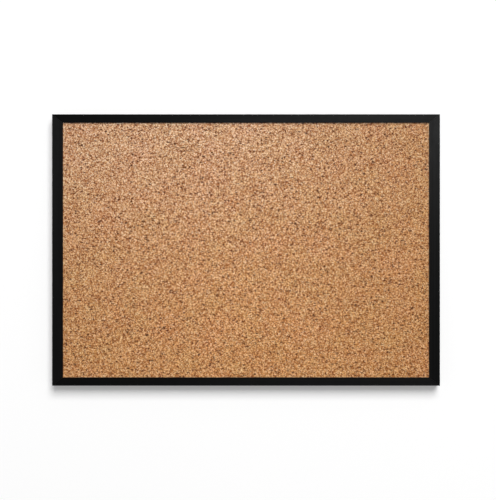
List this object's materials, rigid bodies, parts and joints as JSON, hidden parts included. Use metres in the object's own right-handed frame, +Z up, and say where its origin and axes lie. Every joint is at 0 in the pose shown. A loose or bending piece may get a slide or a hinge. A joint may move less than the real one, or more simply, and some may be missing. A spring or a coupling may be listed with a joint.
{
  "type": "cork bulletin board",
  "caption": "Wall-hung cork pinboard in a slim black mitred aluminium frame, with sliding hangers and swinging D-rings behind it.",
  "frame": {"origin": "middle of the board on the wall plane, which the backs of the four bumpers touch", "axes": "+X to the viewer's right along the board's width, -Y out of the cork towards the viewer, +Z up"},
  "size_m": [0.6, 0.022, 0.42],
  "materials": {
    "black_anodised_aluminium_end_rails": "black anodised, satin, fine lines along the rail",
    "black_anodised_aluminium_side_rails": "black anodised, satin, fine lines along the rail",
    "agglomerated_cork": "fine-grained agglomerated cork, sanded and matt",
    "fibreboard": "raw fibreboard",
    "kraft_paper": "brown kraft paper, matt",
    "spring_steel": "cold-rolled spring steel",
    "rubber": "moulded rubber, matt",
    "blackened_steel": "blackened steel screws",
    "zinc_plated_steel": "bright zinc plating"
  },
  "bodies": {
    "board": {"backing_paper": "kraft_paper", "core_board": "fibreboard", "cork_sheet": "agglomerated_cork", "corner_key_bottom_left": "zinc_plated_steel", "corner_key_bottom_right": "zinc_plated_steel", "corner_key_top_left": "zinc_plated_steel", "corner_key_top_right": "zinc_plated_steel", "corner_screws": "blackened_steel", "corner_shim_bottom_left": "spring_steel", "corner_shim_bottom_right": "spring_steel", "corner_shim_top_left": "spring_steel", "corner_shim_top_right": "spring_steel", "end_spring_bottom_left": "spring_steel", "end_spring_bottom_right": "spring_steel", "end_spring_top_left": "spring_steel", "end_spring_top_right": "spring_steel", "frame_rail_bottom": "black_anodised_aluminium_end_rails", "frame_rail_left": "black_anodised_aluminium_side_rails", "frame_rail_right": "black_anodised_aluminium_side_rails", "frame_rail_top": "black_anodised_aluminium_end_rails", "side_spring_bottom_left": "spring_steel", "side_spring_bottom_right": "spring_steel", "side_spring_top_left": "spring_steel", "side_spring_top_right": "spring_steel", "wall_bumper_bottom_left": "rubber", "wall_bumper_bottom_right": "rubber", "wall_bumper_top_left": "rubber", "wall_bumper_top_right": "rubber"},
    "left_hanger": {"hanger_left": "zinc_plated_steel", "hanger_lock_screw_left": "blackened_steel"},
    "left_ring": {"hanging_ring_left": "zinc_plated_steel"},
    "right_hanger": {"hanger_right": "zinc_plated_steel", "hanger_lock_screw_right": "blackened_steel"},
    "right_ring": {"hanging_ring_right": "zinc_plated_steel"}
  },
  "joints": [
    {"name": "left_hanger_slide", "type": "slide", "parent": "board", "child": "left_hanger", "axis": [0, 0, 1], "range_m": [-0.29, 0.02]},
    {"name": "left_ring_swing", "type": "hinge", "parent": "left_hanger", "child": "left_ring", "pos_m": [-0.2907, -0.00205, 0.14], "axis": [1, 0, 0], "range_deg": [-3, 183]},
    {"name": "right_hanger_slide", "type": "slide", "parent": "board", "child": "right_hanger", "axis": [0, 0, 1], "range_m": [-0.29, 0.02]},
    {"name": "right_ring_swing", "type": "hinge", "parent": "right_hanger", "child": "right_ring", "pos_m": [0.2907, -0.00205, 0.14], "axis": [1, 0, 0], "range_deg": [-3, 183]}
  ]
}
